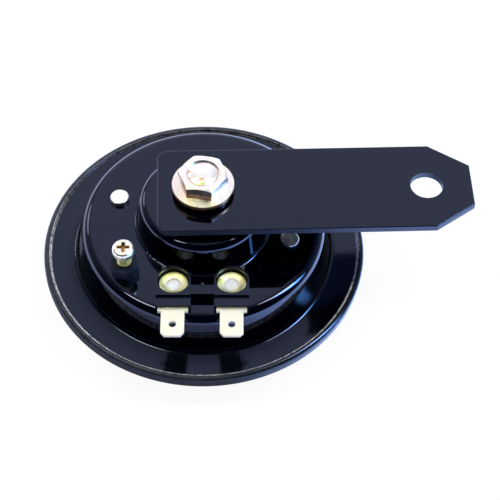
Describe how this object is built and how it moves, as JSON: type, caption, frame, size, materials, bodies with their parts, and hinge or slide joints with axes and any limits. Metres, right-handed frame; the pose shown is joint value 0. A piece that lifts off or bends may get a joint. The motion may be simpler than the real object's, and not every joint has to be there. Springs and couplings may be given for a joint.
{
  "type": "car horn",
  "caption": "Electromagnetic disc horn with a stepped pan housing, crimped slotted cover, blade terminals and a flat mounting strap on its stud.",
  "frame": {"origin": "on the horn's axis, in the plane that the front cover's ring rests on", "axes": "+Z runs along the fixing stud away from the front cover; -Y points along the blade terminals; the mounting strap points roughly along +X"},
  "size_m": [0.1204, 0.092, 0.0441],
  "materials": {
    "black_paint": "gloss black enamel",
    "black_steel": "satin black oxide",
    "yellow_zinc": "yellow passivated zinc",
    "bright_zinc": "bright zinc plate",
    "terminal_brass": "pale brushed brass",
    "moulded_black": "satin moulded",
    "insulating_board": "phenolic board",
    "enamelled_wire": "enamelled copper",
    "contact_metal": "tungsten contact",
    "spring_steel": "cold rolled",
    "gasket": "matt"
  },
  "bodies": {
    "housing": {"rear_housing": "black_paint", "front_cover": "black_paint", "mounting_strap": "black_paint", "strap_washer": "black_steel", "nut_washer": "black_steel", "flange_nut": "yellow_zinc", "pole_core": "yellow_zinc", "housing_rivet_left": "bright_zinc", "housing_rivet_right": "bright_zinc", "adjusting_screw": "yellow_zinc", "lock_nut": "black_steel", "terminal_insulator": "moulded_black", "terminal_left": "terminal_brass", "terminal_right": "terminal_brass", "terminal_rivet_left": "bright_zinc", "terminal_rivet_right": "bright_zinc", "inner_insulator": "insulating_board", "coil_bobbin": "moulded_black", "coil_winding": "enamelled_wire", "coil_retainer": "bright_zinc", "supply_lead": "enamelled_wire", "contact_lead": "enamelled_wire", "contact_insulator": "insulating_board", "contact_washer": "insulating_board", "contact_arm": "bright_zinc", "fixed_contact": "contact_metal", "moving_contact": "contact_metal", "contact_leaf": "spring_steel", "front_gasket": "gasket", "rear_gasket": "gasket", "diaphragm": "spring_steel"},
    "vibrator": {"armature": "bright_zinc", "push_ring": "insulating_board", "distance_collar": "bright_zinc", "tone_disc": "spring_steel", "tone_disc_nut": "bright_zinc"}
  },
  "joints": [
    {"name": "armature_stroke", "type": "slide", "parent": "housing", "child": "vibrator", "axis": [0, 0, 1], "range_m": [-0.0003, 0.0005], "stiffness_N_per_m": 6000, "deforming": ["diaphragm", "contact_leaf"]}
  ]
}
